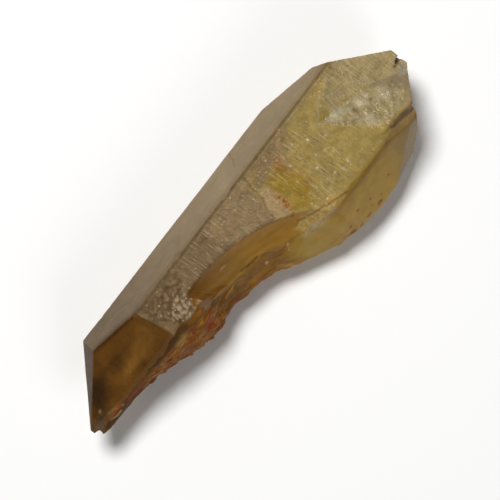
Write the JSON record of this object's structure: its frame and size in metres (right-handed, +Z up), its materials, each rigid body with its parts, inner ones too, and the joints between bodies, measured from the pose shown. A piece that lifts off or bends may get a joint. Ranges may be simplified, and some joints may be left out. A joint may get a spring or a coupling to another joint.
{
  "type": "citrine crystal point",
  "caption": "Long six-sided smoky citrine quartz crystal lying on a prism face, with a dark narrow tip, a frosted broad end and a broken, rust-stained flank.",
  "frame": {"origin": "on the floor, under the middle of the crystal's box", "axes": "+X along the crystal towards its broad yellow end, +Y towards the long smooth side face, +Z up out of the front face"},
  "size_m": [0.0802, 0.026, 0.0182],
  "materials": {
    "smoky_citrine": "frosted, partly glossy natural quartz"
  },
  "bodies": {
    "root": {"citrine_crystal": "smoky_citrine"}
  },
  "joints": []
}
